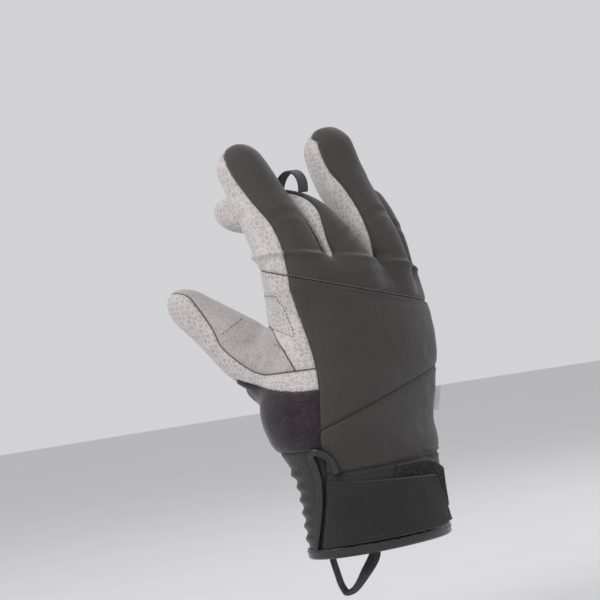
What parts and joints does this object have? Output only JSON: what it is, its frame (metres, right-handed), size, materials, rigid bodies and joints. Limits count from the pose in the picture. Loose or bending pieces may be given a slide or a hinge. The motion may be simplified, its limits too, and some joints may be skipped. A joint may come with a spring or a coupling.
{
  "type": "ski touring glove",
  "caption": "Softshell ski touring glove for a right hand, fingers part curled, with a gathered cuff, a wide wrist strap, a pull loop and a hang loop.",
  "frame": {"origin": "the inner top of the hang loop on the bent middle finger, where the glove hangs", "axes": "+Z along the hand from the hem to the fingertips, -Y out of the back of the hand, -X to the thumb side"},
  "size_m": [0.1411, 0.1197, 0.2778],
  "materials": {
    "softshell": "matt woven stretch fabric",
    "heather": "pale heathered textile with a fine ring print",
    "knit": "dark ribbed knit",
    "binding": "shiny folded tape",
    "fuzzy": "fuzzy loop pile",
    "label": "plain satin tape",
    "webbing": "flat woven webbing"
  },
  "bodies": {
    "root": {"finger_backs": "softshell", "hand_back": "softshell", "wrist_back": "softshell", "cuff_back": "softshell", "cuff_palm": "softshell", "strap": "softshell", "finger_fronts": "heather", "palm": "heather", "thumb_band": "heather", "thumb_panel": "heather", "wrist_panel": "knit", "slit_binding": "binding", "hem_binding": "binding", "loop_patch": "fuzzy", "side_label": "label", "pull_loop": "webbing", "hang_loop": "webbing"}
  },
  "joints": []
}
